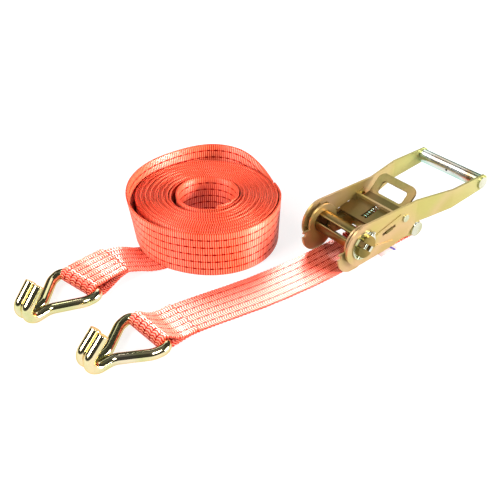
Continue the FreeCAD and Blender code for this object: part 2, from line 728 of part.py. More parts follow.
def coil_spring(name, line, start, end, across, radius):
    """A wound spring along a pawl's line, as a Part::Feature because a helix has no sketch."""
    wire = size("spring_wire")
    room = wire + 0.1
    height = end - start - 2 * room
    helix = Part.makeHelix(height / size("spring_turns"), height, radius)
    section = Part.Wire(Part.makeCircle(wire, Vector(radius, 0, 0), Vector(0, 1, 0)))
    coil = Part.Wire(helix.Edges).makePipeShell([section], True, True)
    coil.Placement = Placement(Vector(start + room, across, 0), Rotation(Vector(0, 1, 0), 90))
    feature = doc.addObject("Part::Feature", name)
    feature.Shape = coil
    feature.Placement = line_place(line).multiply(coil.Placement)
    return feature


def springs():
    front = size("ear_front") + 2
    keep("drive_pawl_spring",
         coil_spring("drive_pawl_spring", "drive", front, size("bridge_start"), 0,
                     size("drive_spring_radius")))
    pair = doc.addObject("Part::Compound", "lock_pawl_springs")
    pair.Links = [coil_spring("lock_spring", "lock", size("lock_body_back"), size("tie_start"),
                              side * size("finger_y"), size("lock_spring_radius"))
                  for side in (1, -1)]
    keep("lock_pawl_springs", pair)


# ---- hooks ------------------------------------------------------------------------------------

def rounded_path(points, radii):
    """Straight runs joined by tangent arcs, with one radius for each inner point."""
    edges = []
    last = points[0]
    for before, corner, after, radius in zip(points, points[1:], points[2:], radii):
        back = (before - corner).normalize()
        ahead = (after - corner).normalize()
        half = back.getAngle(ahead) / 2
        reach = radius / math.tan(half)
        start = corner + back * reach
        end = corner + ahead * reach
        middle = corner + (back + ahead).normalize() * (radius / math.sin(half) - radius)
        edges.append(Part.LineSegment(last, start).toShape())
        edges.append(Part.Arc(start, middle, end).toShape())
        last = end
    edges.append(Part.LineSegment(last, points[-1]).toShape())
    return Part.Wire(edges)


def hook(label, centre_x, centre_y, yaw):
    """Double-J hook of one bent wire: tip, jaw, leg, bar, leg, jaw, tip. Drawn with its bar
    on the Y axis and its jaws towards -X."""
    wire = size("hook_wire")
    low = wire - size("bar_height")
    tip_up = size("jaw_tip_height") - size("bar_height")
    spread = size("jaw_spread")
    # the tips' runs rise at 45 degrees and meet the legs' level line behind the jaws
    turn_x = size("jaw_round") * (1 - 1 / math.tan(math.radians(22.5))) - size("jaw_back")
    half = [Vector(turn_x + tip_up - low, spread, tip_up), Vector(turn_x, spread, low),
            Vector(-size("leg_end_x"), spread, low),
            Vector(-size("leg_mid_x"), size("leg_mid_y"), low / 3),
            Vector(0, size("bar_half"), 0)]
    mirror = [Vector(p.x, -p.y, p.z) for p in reversed(half)]
    round_half = [size(name) for name in ("jaw_round", "leg_end_round", "leg_mid_round",
                                          "bar_end_round")]
    spine = doc.addObject("Part::Feature", label + "_line")
    spine.Shape = rounded_path(half + mirror, round_half + list(reversed(round_half)))
    start = spine.Shape.Edges[0]
    profile = doc.addObject("Part::Circle", label + "_section")
    bind(profile, "Radius", cells("hook_wire"))
    first = start.valueAt(start.FirstParameter)
    heading = start.tangentAt(start.FirstParameter)
    profile.Placement = Placement(first, Rotation(Vector(0, 0, 1), heading))
    sweep = doc.addObject("Part::Sweep", label)
    sweep.Sections = [profile]
    sweep.Spine = (spine, ["Edge%d" % (i + 1) for i in range(len(spine.Shape.Edges))])
    sweep.Solid = True
    sweep.Frenet = False
    doc.recompute()
    rounded = doc.addObject("Part::Fillet", label + "_ends")
    rounded.Base = sweep
    ends = []
    for number, edge in enumerate(sweep.Shape.Edges, start=1):
        centre = edge.BoundBox.Center
        tips = (half[0], mirror[-1])
        if edge.isClosed() and any((centre - tip).Length < 0.5 for tip in tips):
            ends.append((number, size("tip_round"), size("tip_round")))
    rounded.Edges = ends
    height = size("bar_height") - size("drum_height")
    rounded.Placement = Placement(Vector(centre_x, centre_y, height),
                                  Rotation(Vector(0, 0, 1), yaw))
    length = spine.Shape.Length
    expected = math.pi * wire ** 2 * length
    print("%s: wire %.1f mm long, sweep %.4f of its section times length"
          % (label, length, sweep.Shape.Volume / expected))
    keep(label, rounded)


# ---- straps -----------------------------------------------------------------------------------

def strap_frame(x, y, yaw):
    """Placement of a hook's end of a strap: on the floor, under the hook's bar."""
    return Placement(Vector(x, y, -size("drum_height")), Rotation(Vector(0, 0, 1), yaw))


def hook_loop(label, x, y, yaw):
    """The loop that holds the hook's bar, and the two sewn layers behind it. The layers run
    along +X; the loop is square to the bar."""
    body = new_body(label)
    ring = sketch_on(body, "XZ_Plane")
    outer = "hook_wire + loop_gap + webbing_layer"
    draw_circle(ring, ("0", outer), outer)
    pad(body, ring, "loop_half * 2", middle=True)
    throat = sketch_on(body, "XZ_Plane")
    draw_polygon(throat, [("0", "0"), ("14", "0"), ("14", "webbing_layer * 2"),
                          ("11", "webbing_layer * 2"), ("0", "webbing_layer * 2 + 6")])
    pad(body, throat, "loop_half * 2", middle=True)
    layers = sketch_on(body, "XY_Plane")
    lean = -math.radians(yaw)
    far = size("loop_sewn")
    line = [(9.0, 0.0), (far * math.cos(lean), far * math.sin(lean))]
    draw_polygon(layers, ribbon_corners(line, 0.0, lean, size("webbing_width") / 2))
    pad(body, layers, "webbing_layer * 2")
    bored(body, ("0", outer), "hook_wire + loop_gap")
    body.Placement = strap_frame(x, y, yaw)
    keep(label, body)


def ribbon_corners(points, start_turn, end_turn, half):
    """Corners of a flat strap of even width about a bent centre line."""
    headings = [math.atan2(b[1] - a[1], b[0] - a[0]) for a, b in zip(points, points[1:])]
    turns = [start_turn]
    for before, after in zip(headings, headings[1:]):
        turns.append((before + after) / 2)
    turns.append(end_turn)
    left = []
    right = []
    for (x, y), turn in zip(points, turns):
        left.append(("%.4f" % (x - half * math.sin(turn)), "%.4f" % (y + half * math.cos(turn))))
        right.append(("%.4f" % (x + half * math.sin(turn)), "%.4f" % (y - half * math.cos(turn))))
    return left + list(reversed(right))


def short_strap():
    x, y, yaw = size("short_x"), size("short_y"), size("short_yaw")
    hook_loop("short_strap_hook_loop", x, y, yaw)
    body = new_body("short_strap_run")
    floor = "-drum_height"
    plan = sketch_on(body, "XY_Plane", floor)
    line = [(x + size("loop_sewn"), y), (size("short_bend_x"), size("short_bend_y")),
            (size("short_straight_x"), 0.0), (size("anchor_sewn_x"), 0.0)]
    draw_polygon(plan, ribbon_corners(line, 0.0, 0.0, size("webbing_width") / 2))
    pad(body, plan, "webbing_layer")
    keep("short_strap_run", body)

    loop = new_body("short_strap_anchor_loop")
    side = sketch_on(loop, "XZ_Plane")
    outer = "drum_height + anchor_z"
    draw_circle(side, ("anchor_x", "anchor_z"), outer)
    pad(loop, side, "webbing_width", middle=True)
    layers = sketch_on(loop, "XZ_Plane")
    draw_polygon(layers, [("anchor_sewn_x", floor), ("anchor_x", floor),
                          ("anchor_x", "anchor_z"), ("anchor_x - 13", floor + " + 7"),
                          ("anchor_x - 22", floor + " + webbing_layer * 2"),
                          ("anchor_sewn_x", floor + " + webbing_layer * 2")])
    pad(loop, layers, "webbing_width", middle=True)
    bored(loop, ("anchor_x", "anchor_z"), "spacer_radius + loop_gap")
    keep("short_strap_anchor_loop", loop)

    label = new_body("strap_label")
    tag = sketch_on(label, "XY_Plane", floor + " + webbing_layer - label_thick / 2")
    draw_polygon(tag, [("label_x", "-label_out"), ("label_x + label_long", "-label_out"),
                       ("label_x + label_long", "-webbing_width / 2"),
                       ("label_x", "-webbing_width / 2")])
    pad(label, tag, "label_thick")
    keep("strap_label", label)


def long_strap():
    x, y, yaw = size("long_x"), size("long_y"), size("long_yaw")
    hook_loop("long_strap_hook_loop", x, y, yaw)
    coil = new_body("long_strap_coil")
    ring = sketch_on(coil, "XY_Plane", "-drum_height")
    draw_circle(ring, ("coil_x", "coil_y"), "coil_radius")
    draw_circle(ring, ("coil_x", "coil_y"), "coil_hole")
    pad(coil, ring, "webbing_width")
    keep("long_strap_coil", coil)

    body = new_body("long_strap_tail")
    plan = sketch_on(body, "XY_Plane", "-drum_height")
    line = [(x + size("loop_sewn"), y), (size("tail_end_x"), size("tail_end_y"))]
    draw_polygon(plan, ribbon_corners(line, 0.0, 0.0, size("webbing_width") / 2))
    pad(body, plan, "webbing_layer")
    under = sketch_on(body, "XY_Plane")
    draw_circle(under, ("coil_x", "coil_y"), "coil_radius")
    pocket(body, under)
    keep("long_strap_tail", body)


# ---- build, check and write -------------------------------------------------------------------

for plate_side in ("left", "right"):
    frame_plate(plate_side)
frame_tie()
anchor()
drum_bar("drum_bar_upper", "")
drum_bar("drum_bar_lower", "-")
for wheel_side in ("left", "right"):
    ratchet_wheel(wheel_side)
drum_fasteners()
for cheek_side in ("left", "right"):
    handle_plate(cheek_side)
handle_bridge()
handle_rivets()
grip()
drive_pawl()
lock_pawl()
springs()
short_strap()
hook("short_hook", size("short_x"), size("short_y"), size("short_yaw"))
long_strap()
hook("long_hook", size("long_x"), size("long_y"), size("long_yaw"))

doc.recompute()
for item in doc.Objects:
    if "Invalid" in item.State or "Error" in item.State:
        raise ValueError("%s failed: %s" % (item.Label, item.State))

os.makedirs("parts", exist_ok=True)
for label, item in PARTS.items():
    shape = item.Shape
    if shape.isNull() or not shape.isValid() or not shape.Solids:
        raise ValueError(label + " has no valid solid")
    print("%-26s %d solid(s) %9.1f mm3" % (label, len(shape.Solids), shape.Volume))
for label, item in PARTS.items():
    item.Shape.exportStep("parts/%s.step" % label)
print("%d nodes" % len(PARTS))
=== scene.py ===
import json
import math

import bmesh
import bpy
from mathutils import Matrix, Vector

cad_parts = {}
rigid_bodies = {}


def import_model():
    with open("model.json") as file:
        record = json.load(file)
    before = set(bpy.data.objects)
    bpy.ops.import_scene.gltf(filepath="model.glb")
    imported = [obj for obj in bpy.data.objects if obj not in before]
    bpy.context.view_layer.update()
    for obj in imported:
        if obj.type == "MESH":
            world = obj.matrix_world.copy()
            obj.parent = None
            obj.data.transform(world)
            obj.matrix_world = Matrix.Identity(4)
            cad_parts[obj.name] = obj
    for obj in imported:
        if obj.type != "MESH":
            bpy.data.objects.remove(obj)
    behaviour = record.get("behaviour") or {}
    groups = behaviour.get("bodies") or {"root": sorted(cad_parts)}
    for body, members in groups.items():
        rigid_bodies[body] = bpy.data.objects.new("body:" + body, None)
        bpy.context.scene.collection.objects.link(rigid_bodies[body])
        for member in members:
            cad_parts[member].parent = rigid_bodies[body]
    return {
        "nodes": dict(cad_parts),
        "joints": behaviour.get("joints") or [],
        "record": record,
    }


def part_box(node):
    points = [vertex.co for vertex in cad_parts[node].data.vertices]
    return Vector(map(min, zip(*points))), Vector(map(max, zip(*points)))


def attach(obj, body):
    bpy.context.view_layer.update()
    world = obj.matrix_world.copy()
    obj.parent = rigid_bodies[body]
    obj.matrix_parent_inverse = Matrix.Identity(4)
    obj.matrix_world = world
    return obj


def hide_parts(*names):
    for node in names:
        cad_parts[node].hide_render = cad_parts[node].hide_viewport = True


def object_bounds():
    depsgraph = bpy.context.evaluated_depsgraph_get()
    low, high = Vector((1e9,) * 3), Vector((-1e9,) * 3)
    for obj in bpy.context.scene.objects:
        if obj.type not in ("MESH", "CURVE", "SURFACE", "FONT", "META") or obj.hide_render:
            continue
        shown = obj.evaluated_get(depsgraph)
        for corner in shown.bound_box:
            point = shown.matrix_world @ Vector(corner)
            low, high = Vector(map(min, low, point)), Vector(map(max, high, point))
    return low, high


# The looks of a ratchet tie down: its webbing, materials and light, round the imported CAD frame.
# The origin is the middle of the winding drum, +X runs to the handle's grip, +Y to the buckle's
# left side and +Z up.

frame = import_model()
CAD_BOUNDS = [list(corner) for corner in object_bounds()]
NODES = frame["nodes"]
JOINTS = {joint["name"]: joint for joint in frame["joints"]}
SLOTS = {part["node"]: part["material_slot"] for part in frame["record"]["subparts"]}
MM = 0.001
FLOOR = CAD_BOUNDS[0][2]
UP = Vector((0, 0, 1))
LEFT = Vector((0, 1, 0))

# ---- camera -----------------------------------------------------------------------------------

CAMERA_PLACE = (-0.4811, -0.4401, FLOOR + 0.4636)
CAMERA_TARGET = (-0.0688, 0.0693, FLOOR + 0.0004)
CAMERA_LENS = 51.8
CAMERA_SENSOR = 36.0


def look_from(obj, place, target):
    """Put a camera or a light at a place and turn it to look at a target."""
    obj.location = place
    obj.rotation_euler = (Vector(target) - Vector(place)).to_track_quat("-Z", "Y").to_euler()


def make_camera():
    data = bpy.data.cameras.new("view")
    data.lens = CAMERA_LENS
    data.sensor_width = CAMERA_SENSOR
    data.clip_start = 0.01
    camera = bpy.data.objects.new("view", data)
    bpy.context.scene.collection.objects.link(camera)
    look_from(camera, CAMERA_PLACE, CAMERA_TARGET)
    bpy.context.scene.camera = camera


make_camera()
bpy.context.scene.view_settings.view_transform = "Standard"

# ---- shader helpers ---------------------------------------------------------------------------


class Shader:
    """A node material with a few short ways to add and join nodes."""

    def __init__(self, name):
        self.material = bpy.data.materials.new(name)
        self.material.use_nodes = True
        self.tree = self.material.node_tree
        self.surface = self.tree.nodes["Principled BSDF"]

    def add(self, kind, **settings):
        node = self.tree.nodes.new(kind)
        for name, value in settings.items():
            setattr(node, name, value)
        return node

    def feed(self, socket, value):
        """Link a socket to another node's output, or set it to a fixed value."""
        if isinstance(value, bpy.types.NodeSocket):
            self.tree.links.new(value, socket)
        else:
            socket.default_value = value

    def set(self, **values):
        """Feed the surface's own sockets; an underscore in a name stands for a space."""
        for name, value in values.items():
            self.feed(self.surface.inputs[name.replace("_", " ")], value)

    def math(self, kind, first, second=0.0, clamp=False):
        node = self.add("ShaderNodeMath", operation=kind, use_clamp=clamp)
        self.feed(node.inputs[0], first)
        self.feed(node.inputs[1], second)
        return node.outputs[0]

    def product(self, *factors):
        result = factors[0]
        for factor in factors[1:]:
            result = self.math("MULTIPLY", result, factor)
        return result

    def total(self, *terms):
        """The terms added up, and the sum kept between 0 and 1."""
        result = terms[0]
        for term in terms[1:]:
            result = self.math("ADD", result, term)
        result.node.use_clamp = True
        return result

    def mix(self, amount, first, second):
        node = self.add("ShaderNodeMix", data_type="RGBA")
        self.feed(node.inputs["Factor"], amount)
        self.feed(node.inputs["A"], first)
        self.feed(node.inputs["B"], second)
        return node.outputs["Result"]

    def position(self):
        return self.add("ShaderNodeTexCoord").outputs["Object"]

    def x_position(self):
        axes = self.add("ShaderNodeSeparateXYZ")
        self.feed(axes.inputs["Vector"], self.position())
        return axes.outputs["X"]

    def noise(self, scale, detail=2.0, stretch=None):
        """Noise in the object's own frame; a stretch under 1 makes it longer along that axis."""
        vector = self.position()
        if stretch is not None:
            mapping = self.add("ShaderNodeMapping")
            self.feed(mapping.inputs["Vector"], vector)
            mapping.inputs["Scale"].default_value = stretch
            vector = mapping.outputs["Vector"]
        node = self.add("ShaderNodeTexNoise")
        self.feed(node.inputs["Vector"], vector)
        node.inputs["Scale"].default_value = scale
        node.inputs["Detail"].default_value = detail
        return node.outputs["Fac"]

    def ramp(self, value, stops):
        node = self.add("ShaderNodeValToRGB")
        self.feed(node.inputs["Fac"], value)
        fill_ramp(node.color_ramp, stops)
        return node.outputs["Color"]

    def bump(self, height, strength, distance):
        node = self.add("ShaderNodeBump")
        self.feed(node.inputs["Height"], height)
        node.inputs["Strength"].default_value = strength
        node.inputs["Distance"].default_value = distance
        self.set(Normal=node.outputs["Normal"])


def fill_ramp(band, stops):
    """Give a colour ramp its stops: pairs of a place from 0 to 1 and a colour."""
    while len(band.elements) < len(stops):
        band.elements.new(0.5)
    for element, (place, color) in zip(band.elements, stops):
        element.position = place
        element.color = (*color, 1.0)


# ---- plated steel -----------------------------------------------------------------------------

GOLD = (0.41, 0.28, 0.085)
STRAW = (0.41, 0.34, 0.095)
PINKISH = (0.50, 0.32, 0.17)
LIME = (0.37, 0.43, 0.15)
HOOK_GREEN = (0.64, 0.65, 0.32)
HOOK_GOLD = (0.82, 0.69, 0.42)
HOOK_PINK = (0.88, 0.74, 0.60)
OLIVE = (0.12, 0.105, 0.030)
UMBER = (0.20, 0.125, 0.045)
PALE_GREEN = (0.50, 0.54, 0.30)
TEAL = (0.24, 0.60, 0.48)
SILVER = (0.76, 0.80, 0.76)
TARNISH = (0.25, 0.19, 0.10, 1)

CLOUD_PLACES = (0.30, 0.44, 0.56, 0.70)
CLOUD_SCALE = 14.0
SPECK_SCALE = 900.0
SPECK_SHARE = 0.22
SCRATCH_SCALE = 260.0
PIT_SCALE = 420.0
TIP_SHARE = 0.75

# Each slot's cloud colours in order, its roughness, and where it differs from metal()'s values.
METAL_FINISHES = {
    "zinc_plate": dict(colors=(STRAW, GOLD, PINKISH, STRAW), roughness=0.34, metallic=0.65,
                       tip=LIME),
    "zinc_dark": dict(colors=(OLIVE, UMBER, OLIVE, UMBER), roughness=0.38, metallic=0.85),
    "zinc_hook": dict(colors=(HOOK_GREEN, HOOK_GOLD, HOOK_GREEN, HOOK_PINK), roughness=0.10,
                      wear=0.03, grain=0.03 * MM, edge=(1.0, 0.72, 0.42)),
    "zinc_bolt": dict(colors=(PALE_GREEN, STRAW, PALE_GREEN, SILVER), roughness=0.25),
    "zinc_tube": dict(colors=(TEAL, SILVER, PINKISH, TEAL), roughness=0.24,
                      edge=(0.45, 0.85, 0.78)),
    "drum_steel": dict(colors=(OLIVE, UMBER, OLIVE, GOLD), roughness=0.30),
    "spring_steel": dict(colors=(SILVER, TEAL, SILVER, STRAW), roughness=0.2),
}


def towards_grip(shader):
    """0 at the drum, rising to TIP_SHARE at the far side of the handle's grip."""
    grip_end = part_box("grip_tube")[1].x
    share = shader.math("DIVIDE", shader.x_position(), grip_end, clamp=True)
    return shader.product(shader.math("POWER", share, 1.6), TIP_SHARE)


def metal(name, colors, roughness, wear=0.08, grain=0.08 * MM, edge=(1.0, 0.80, 0.55),
          metallic=1.0, tip=None):
    """Zinc-plated steel. The plating's colour drifts in soft clouds, towards the tip colour
    near the grip if there is one. Scratches change the gloss by the wear, fine pits are as
    deep as the grain, and edge tints the shine at grazing angles."""
    shader = Shader(name)
    color = shader.ramp(shader.noise(CLOUD_SCALE, detail=1.5), list(zip(CLOUD_PLACES, colors)))
    if tip is not None:
        color = shader.mix(towards_grip(shader), color, (*tip, 1))
    specks = shader.noise(SPECK_SCALE, detail=3.0)
    color = shader.mix(shader.product(specks, SPECK_SHARE), color, TARNISH)
    scratches = shader.noise(SCRATCH_SCALE, detail=4.0, stretch=(0.25, 1.0, 1.0))
    gloss = shader.total(shader.product(scratches, wear * 2), roughness - wear)
    shader.set(Base_Color=color, Metallic=metallic, Roughness=gloss, Specular_Tint=(*edge, 1))
    shader.bump(shader.noise(PIT_SCALE, detail=3.0), strength=0.35, distance=grain)
    return shader.material


# ---- webbing and label materials --------------------------------------------------------------

ORANGE = (0.92, 0.115, 0.018, 1)
# A deeper orange: the seams' and the fuzz's own colour, and painted shade in the rib valleys.
DEEP_AND_SHADE = (0.52, 0.012, 0.004, 1)
DASH = (0.34, 0.009, 0.007, 1)
# The next two are the colours of the rib tops' painted sheen: on the flat straps, and on the coil.
SALMON_SHEEN = (0.95, 0.38, 0.29, 1)
PEACH_SHEEN = (0.95, 0.34, 0.21, 1)
SHEEN_PINK = (1.0, 0.80, 0.72, 1)

# The weave's sizes on the strap. Ribs run across it, yarns and seams along it, and on five of
# the seams lies a row of dashes.
RIB_PITCH = 2.5 * MM
YARN_PITCH = 1.06 * MM
ROW_PITCH = 8.5 * MM
DASH_PITCH = 9.0 * MM
DASH_STAGGER = 2.9 * MM
DASH_HALF_LENGTH = 1.9 * MM
DASH_HALF_WIDTH = 0.85 * MM
SEAM_HALF_WIDTH = 0.6 * MM
OUTER_ROW = 21.0 * MM
SELVEDGE_START = 23.8 * MM
SHEEN_PATCH_SCALE = 34.0
FUZZ_SCALE = 620.0


def wave(shader, value, pitch):
    """A sine from 0 to 1 that repeats at every pitch."""
    sine = shader.math("SINE", shader.product(value, math.tau / pitch))
    return shader.math("ADD", shader.product(sine, 0.5), 0.5)


def strip(shader, value, pitch, half):
    """1 within half of the middle of every pitch, 0 elsewhere."""
    share = shader.math("FRACT", shader.math("DIVIDE", value, pitch))
    off_middle = shader.math("ABSOLUTE", shader.math("SUBTRACT", share, 0.5))
    return shader.math("LESS_THAN", off_middle, half / pitch)


def dash_marks(shader, along, across, rows):
    """1 on the dark dashes: five rows, each a little further along than the one beside it."""
    row_number = shader.math("FLOOR", shader.math("DIVIDE", rows, ROW_PITCH))
    staggered = shader.math("ADD", along, shader.product(row_number, DASH_STAGGER))
    on_row = strip(shader, rows, ROW_PITCH, DASH_HALF_WIDTH)
    inside = shader.math("LESS_THAN", shader.math("ABSOLUTE", across), OUTER_ROW)
    return shader.product(on_row, inside,
                          strip(shader, staggered, DASH_PITCH, DASH_HALF_LENGTH))


def webbing_material(name, pale, chevron, top):
    """Polyester webbing. pale is how far its rib tops go to the top colour, a painted sheen, and
    chevron how much its ribs slant. Its rib valleys are darkened as painted shade. Every webbing
    mesh carries two numbers at each point: how far it is along the strap and how far across, in
    metres. The metallic input is a trick: it keeps the shine of the valleys, seams and dashes as
    orange as they are. The yarns run along the strap, so the shine spreads across it."""
    shader = Shader(name)
    along = shader.add("ShaderNodeAttribute", attribute_name="along").outputs["Fac"]
    across = shader.add("ShaderNodeAttribute", attribute_name="across").outputs["Fac"]
    rows = shader.math("ADD", across, ROW_PITCH / 2)
    zigzag = shader.math("PINGPONG", across, ROW_PITCH / 2)
    ribs = wave(shader, shader.math("ADD", along, shader.product(zigzag, chevron)), RIB_PITCH)
    valleys = shader.math("SUBTRACT", 1.0, ribs)
    seams = shader.product(strip(shader, rows, ROW_PITCH, SEAM_HALF_WIDTH), 0.6)
    marks = dash_marks(shader, along, across, rows)
    selvedge = shader.math("GREATER_THAN", shader.math("ABSOLUTE", across), SELVEDGE_START)
    sheen_patches = shader.noise(SHEEN_PATCH_SCALE, detail=3.0)
    fuzz = shader.noise(FUZZ_SCALE, detail=2.0)

    # The rib valleys are darkened: painted shade.
    color = shader.mix(valleys, ORANGE, DEEP_AND_SHADE)
    # The rib tops are lightened in noise patches: a painted sheen.
    color = shader.mix(shader.product(ribs, sheen_patches, pale), color, top)
    color = shader.mix(seams, color, DEEP_AND_SHADE)
    color = shader.mix(shader.product(fuzz, 0.35), color, DEEP_AND_SHADE)
    color = shader.mix(marks, color, DASH)
    uneven = shader.product(shader.math("SUBTRACT", fuzz, 0.5), 0.4)
    rough = shader.total(shader.product(valleys, 0.75), 0.27, uneven, shader.product(marks, 0.7),
                         shader.product(selvedge, 0.45), seams)
    tinted = shader.total(shader.product(valleys, 0.95), shader.product(marks, 0.9), seams,
                          shader.product(selvedge, 0.45))
    weave = shader.add("ShaderNodeTangent", direction_type="UV_MAP", uv_map="weave")
    shader.set(Base_Color=color, Roughness=rough, Metallic=tinted, IOR=1.55,
               Specular_IOR_Level=1.0, Anisotropic=0.85, Tangent=weave.outputs["Tangent"],
               Sheen_Weight=0.04, Sheen_Roughness=0.4, Sheen_Tint=SHEEN_PINK)
    yarns = wave(shader, across, YARN_PITCH)
    shader.bump(shader.total(shader.product(ribs, 0.35), shader.product(yarns, 0.3)),
                strength=0.5, distance=0.20 * MM)
    return shader.material


LABEL_BLUE = (0.02, 0.03, 0.42)
LABEL_BANDS = [(0.0, (0.92, 0.62, 0.60)), (0.40, (0.95, 0.88, 0.86)), (0.70, (0.95, 0.74, 0.76)),
               (0.75, LABEL_BLUE), (0.84, LABEL_BLUE), (0.88, (0.95, 0.74, 0.72))]
LABEL_GRIME = (0.75, 0.72, 0.68, 1)
GRIME_SCALE = 180.0


def label_material():
    """A printed vinyl tag: plain bands of blue and pink on white, with no words."""
    shader = Shader("label_vinyl")
    low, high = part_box("strap_label")
    from_end = shader.math("SUBTRACT", shader.x_position(), low.x)
    bands = shader.ramp(shader.math("DIVIDE", from_end, high.x - low.x), LABEL_BANDS)
    grime = shader.product(shader.noise(GRIME_SCALE, detail=3.0), 0.2)
    shader.set(Base_Color=shader.mix(grime, bands, LABEL_GRIME), Roughness=0.45)
    return shader.material


# The flat straps and the wound coil share one slot of the record and differ in look: the flat
# straps' rib tops carry a stronger, paler painted sheen, and their ribs slant more.
MATERIALS = {slot: metal(slot, **finish) for slot, finish in METAL_FINISHES.items()}
MATERIALS["webbing_orange"] = webbing_material("webbing_orange", 1.0, 0.36, SALMON_SHEEN)
MATERIALS["webbing_wound"] = webbing_material("webbing_wound", 0.7, 0.05, PEACH_SHEEN)
MATERIALS["label_vinyl"] = label_material()


def dress_cad_nodes():
    for name, node in NODES.items():
        for index in range(len(node.data.materials)):
            node.data.materials[index] = MATERIALS[SLOTS[name]]


dress_cad_nodes()

# ---- webbing shapes ---------------------------------------------------------------------------

WIDTH = 50 * MM
THICK = 2.1 * MM
WOUND_THICK = 2.15 * MM
LINE_STEP = 1.3 * MM
SCALLOP_PITCH = 4.4 * MM

# The height of laid webbing's middle, and the radius of its loops round a hook and the anchor.
LAID = FLOOR + THICK / 2 + 0.1 * MM
HOOK_LOOP = 7.1 * MM
ANCHOR_LOOP = 11.5 * MM

# What a softbox lights when it doesn't light everything: the flat straps, the coil, or every
# piece but the coil.
LIT = {name: bpy.data.collections.new(name)
       for name in ("webbing_orange", "webbing_wound", "all_but_coil")}


def smooth(points):
    """A smooth line through the points (Catmull-Rom), with a point about every LINE_STEP."""
    line = []
    padded = [points[0] * 2 - points[1], *points, points[-1] * 2 - points[-2]]
    for a, b, c, d in zip(padded, padded[1:], padded[2:], padded[3:]):
        count = max(1, round((c - b).length / LINE_STEP))
        for i in range(count):
            t = i / count
            line.append(0.5 * (2 * b + (c - a) * t + (2 * a - 5 * b + 4 * c - d) * t * t
                               + (3 * b - a - 3 * c + d) * t ** 3))
    line.append(points[-1])
    return line


def arc(centre, radius, start, end, axis, step=1.2 * MM):
    """Points round an axis, from the start angle to the end angle in degrees; angle 0 is
    towards the grip and 90 is up."""
    forward = axis.cross(UP)
    count = max(2, round(abs(math.radians(end - start)) * radius / step))
    points = []
    for i in range(count + 1):
        turn = math.radians(start + (end - start) * i / count)
        points.append(centre + forward * (radius * math.cos(turn)) + UP * (radius * math.sin(turn)))
    return points


def distances(line):
    """How far along the line each of its points is."""
    far = [0.0]
    for one, two in zip(line, line[1:]):
        far.append(far[-1] + (two - one).length)
    return far


def direction(line, i):
    """The line's direction at a point, not normalised."""
    return line[min(i + 1, len(line) - 1)] - line[max(i - 1, 0)]


def level_across(line):
    """The width's direction along a line that lies flat: level and square to the line."""
    sides = []
    for i in range(len(line)):
        ahead = direction(line, i)
        ahead.z = 0
        sides.append(UP.cross(ahead).normalized())
    return sides


def turned_from(fixed, sides, count):
    """The sides, with the first few turned smoothly out of a fixed direction."""
    turned = list(sides)
    for i in range(min(count, len(sides))):
        same_way = fixed if fixed.dot(sides[i]) > 0 else -fixed
        share = i / count
        turned[i] = (same_way * (1 - share) + sides[i] * share).normalized()
    return turned


def band_section(half, thick, columns):
    """The closed outline of webbing seen end-on: (across, up) pairs with rounded selvedges."""
    edge = half - thick / 2
    top = [(-edge + 2 * edge * i / columns, thick / 2) for i in range(columns + 1)]
    right = [(edge + thick * 0.35, thick * 0.36), (half, 0.0),
             (edge + thick * 0.35, -thick * 0.36)]
    bottom = [(across, -up) for across, up in reversed(top)]
    left = [(-across, -up) for across, up in right]
    return top + right + bottom + left


def skin(mesh, rings):
    """Join neighbouring rings of vertices with faces and close both ends."""
    count = len(rings[0])
    for one, two in zip(rings, rings[1:]):
        for k in range(count):
            mesh.faces.new((one[k], one[(k + 1) % count], two[(k + 1) % count], two[k]))
    mesh.faces.new(list(reversed(rings[0])))
    mesh.faces.new(rings[-1])
    bmesh.ops.recalc_face_normals(mesh, faces=mesh.faces)


def ribbon(name, line, sides, thick=THICK, columns=8, scallop=0.0, sink=None,
           material="webbing_orange"):
    """A closed strip of webbing along a line, and its length. sides gives the direction of its
    width at each point. scallop makes the selvedge wavy. sink(i, share) moves the surface at
    point i of the line, where share goes from -1 to 1 across the width."""
    mesh = bmesh.new()
    along_layer = mesh.verts.layers.float.new("along")
    across_layer = mesh.verts.layers.float.new("across")
    weave_layer = mesh.loops.layers.uv.new("weave")
    section = band_section(WIDTH / 2, thick, columns)
    far = distances(line)
    rings = []
    for i, centre in enumerate(line):
        tangent = direction(line, i).normalized()
        side = (sides[i] - tangent * sides[i].dot(tangent)).normalized()
        normal = tangent.cross(side)
        swell = 1 + scallop * math.sin(math.tau * far[i] / SCALLOP_PITCH)
        ring = []
        for across, up in section:
            place = centre + side * (across * swell) + normal * up
            if sink is not None:
                place = place + sink(i, 2 * across / WIDTH)
            vertex = mesh.verts.new(place)
            vertex[along_layer] = far[i]
            vertex[across_layer] = across
            ring.append(vertex)
        rings.append(ring)
    skin(mesh, rings)
    for face in mesh.faces:
        for loop in face.loops:
            loop[weave_layer].uv = (loop.vert[across_layer] / WIDTH, loop.vert[along_layer] / WIDTH)
    data = bpy.data.meshes.new(name)
    mesh.to_mesh(data)
    mesh.free()
    data.shade_smooth()
    data.materials.append(MATERIALS[material])
    obj = bpy.data.objects.new(name, data)
    bpy.context.scene.collection.objects.link(obj)
    LIT[material].objects.link(obj)
    return obj, far[-1]


# ---- short strap ------------------------------------------------------------------------------

RIPPLE_START, RIPPLE_END = -0.19, -0.03
RIPPLE_HEIGHT = 0.15 * MM
RIPPLE_RATE = 210


def joint_place(name):
    return Vector(JOINTS[name]["pos_m"])


def joint_axis(name):
    return Vector(JOINTS[name]["axis"]).normalized()


def same_handed(sides):
    """The sides, each turned to point to the buckle's left, so that the strip doesn't flip."""
    return [side if side.y > 0 else -side for side in sides]


